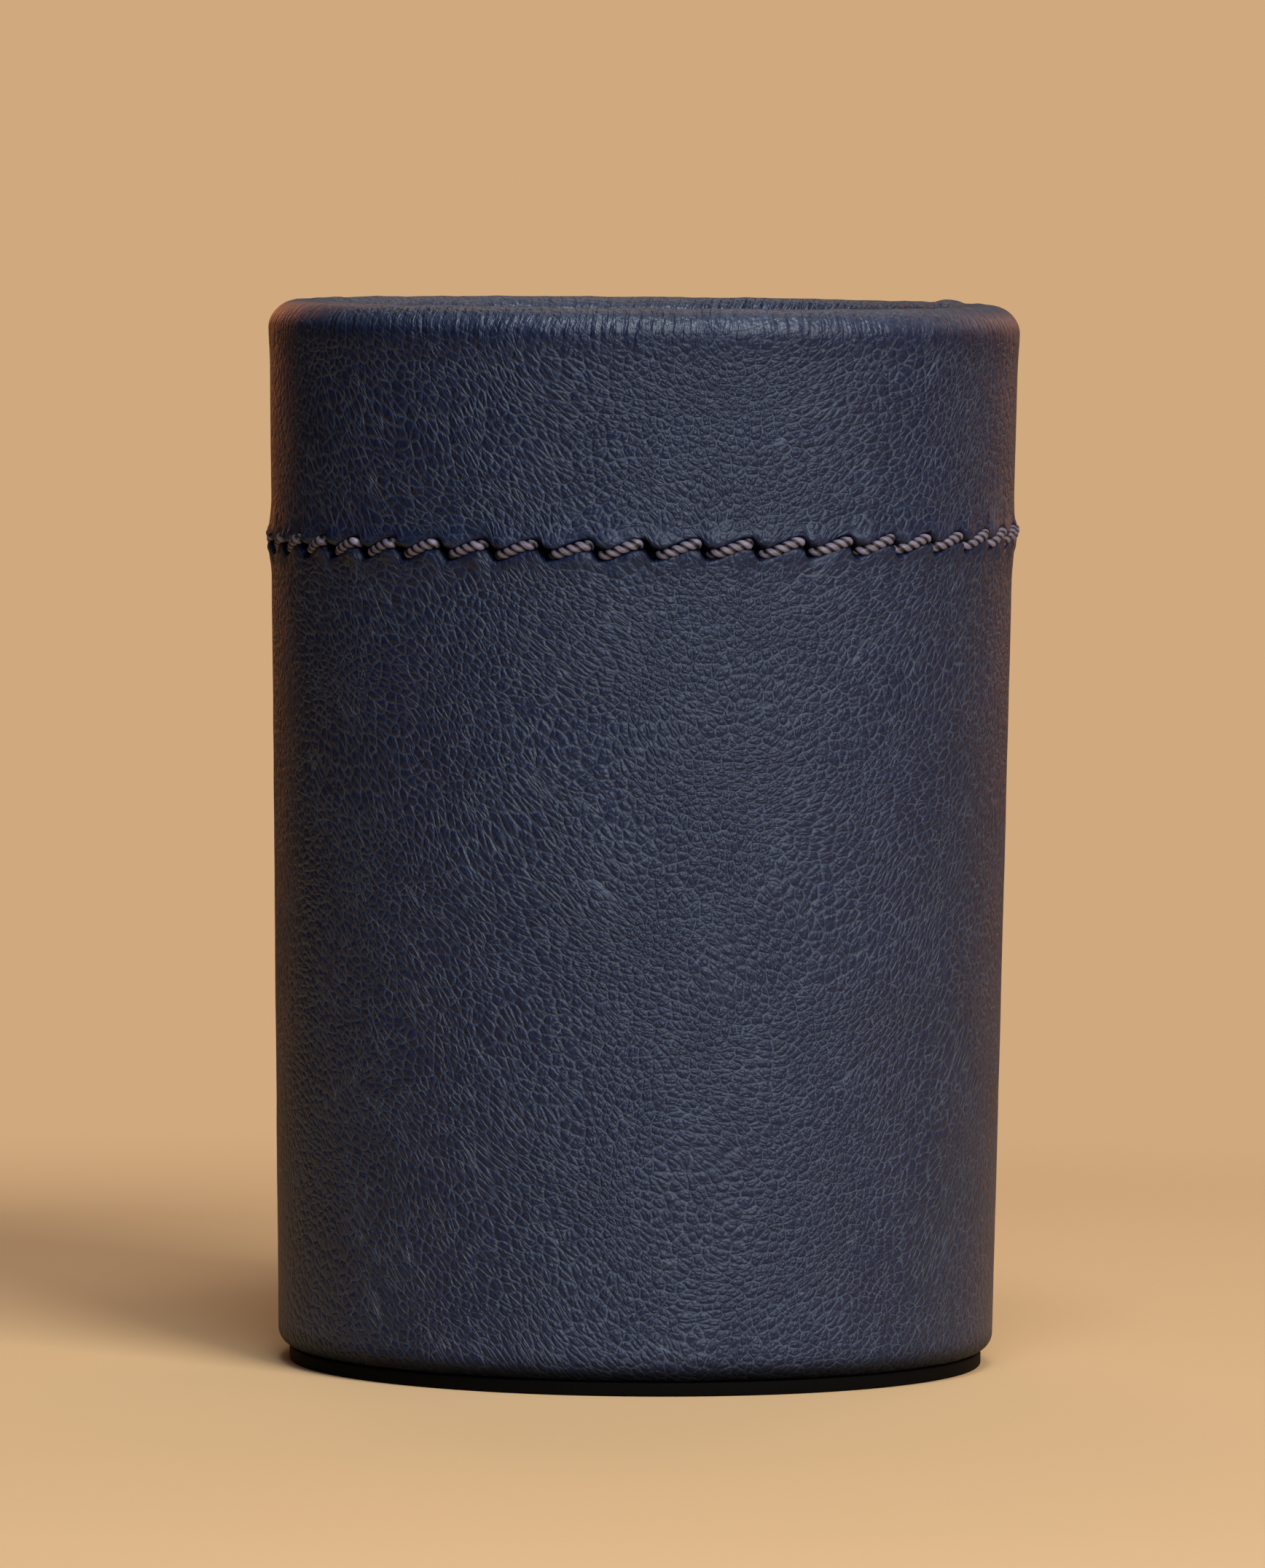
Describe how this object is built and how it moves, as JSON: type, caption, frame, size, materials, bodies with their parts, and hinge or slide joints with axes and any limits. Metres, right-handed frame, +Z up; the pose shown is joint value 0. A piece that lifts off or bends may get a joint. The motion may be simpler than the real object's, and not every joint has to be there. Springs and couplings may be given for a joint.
{
  "type": "pencil cup",
  "caption": "Round leather-covered pencil cup with a rolled rim, a hand-stitched seam below it and a rubber base, for holding pens and pencils on a desk.",
  "frame": {"origin": "centre of the underside of the base pad, where the cup stands", "axes": "+Z up along the cup's axis, +X to the right and -Y towards the viewer in the picture"},
  "size_m": [0.0762, 0.0762, 0.1077],
  "materials": {
    "core_board": "pressed leatherboard, matt",
    "outer_leather": "navy milled full-grain leather, satin",
    "waxed_thread": "mauve-grey waxed plied thread",
    "lining_leather": "navy split leather lining, matt",
    "pad_rubber": "black non-slip rubber, matt"
  },
  "bodies": {
    "root": {"core_tube": "core_board", "base_board": "core_board", "body_sleeve": "outer_leather", "rim_cuff": "outer_leather", "saddle_stitch": "waxed_thread", "inner_lining": "lining_leather", "floor_lining": "lining_leather", "base_pad": "pad_rubber"}
  },
  "joints": []
}
